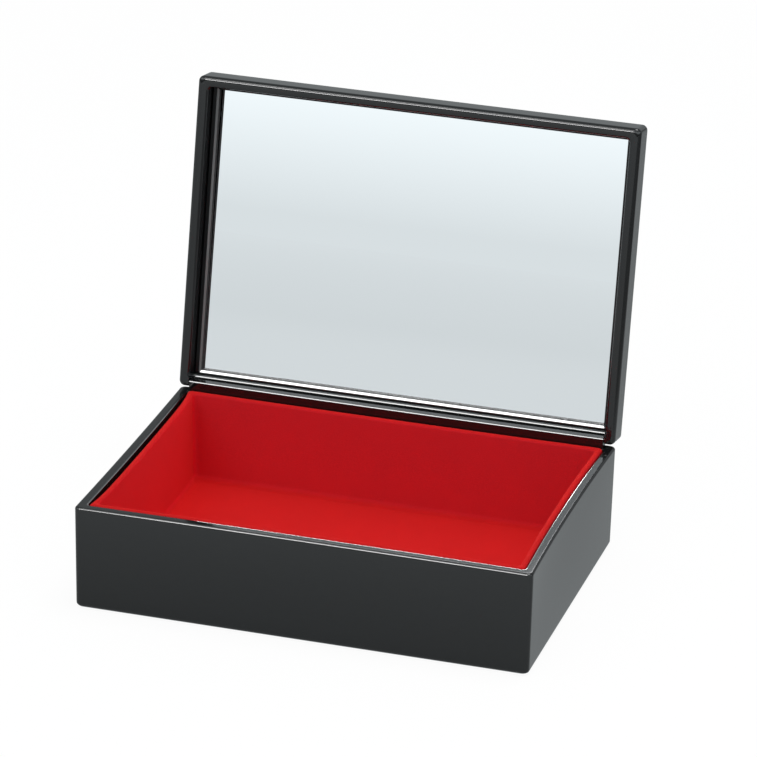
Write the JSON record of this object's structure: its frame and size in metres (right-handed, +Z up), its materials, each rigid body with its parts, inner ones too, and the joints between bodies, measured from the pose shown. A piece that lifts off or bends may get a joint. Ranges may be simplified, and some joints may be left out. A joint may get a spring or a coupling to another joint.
{
  "type": "jewelry box",
  "caption": "Black lacquered rectangular box with a hinged lid standing open, a mirror set in the lid and a red flocked tray inside.",
  "frame": {"origin": "middle of the flat base that the box stands on", "axes": "+X along the length, +Y to the back where the hinge is, +Z up"},
  "size_m": [0.18, 0.1563, 0.1673],
  "materials": {
    "lacquer": "black lacquer, high gloss, on a moulded body",
    "flock": "red flock, matt",
    "mirror": "silvered float glass",
    "trim": "black gloss moulding",
    "foam": "white foam tape",
    "steel": "drawn wire"
  },
  "bodies": {
    "box": {"box_body": "lacquer", "tray_liner": "flock"},
    "lid": {"lid_shell": "lacquer", "mirror_glass": "mirror", "mirror_frame": "trim", "mirror_tape_left": "foam", "mirror_tape_middle": "foam", "mirror_tape_right": "foam", "hinge_pin_left": "steel", "hinge_pin_right": "steel"}
  },
  "joints": [
    {"name": "lid_hinge", "type": "hinge", "parent": "box", "child": "lid", "pos_m": [0, 0.0615, 0.0446], "axis": [1, 0, 0], "range_deg": [0, 100]}
  ]
}
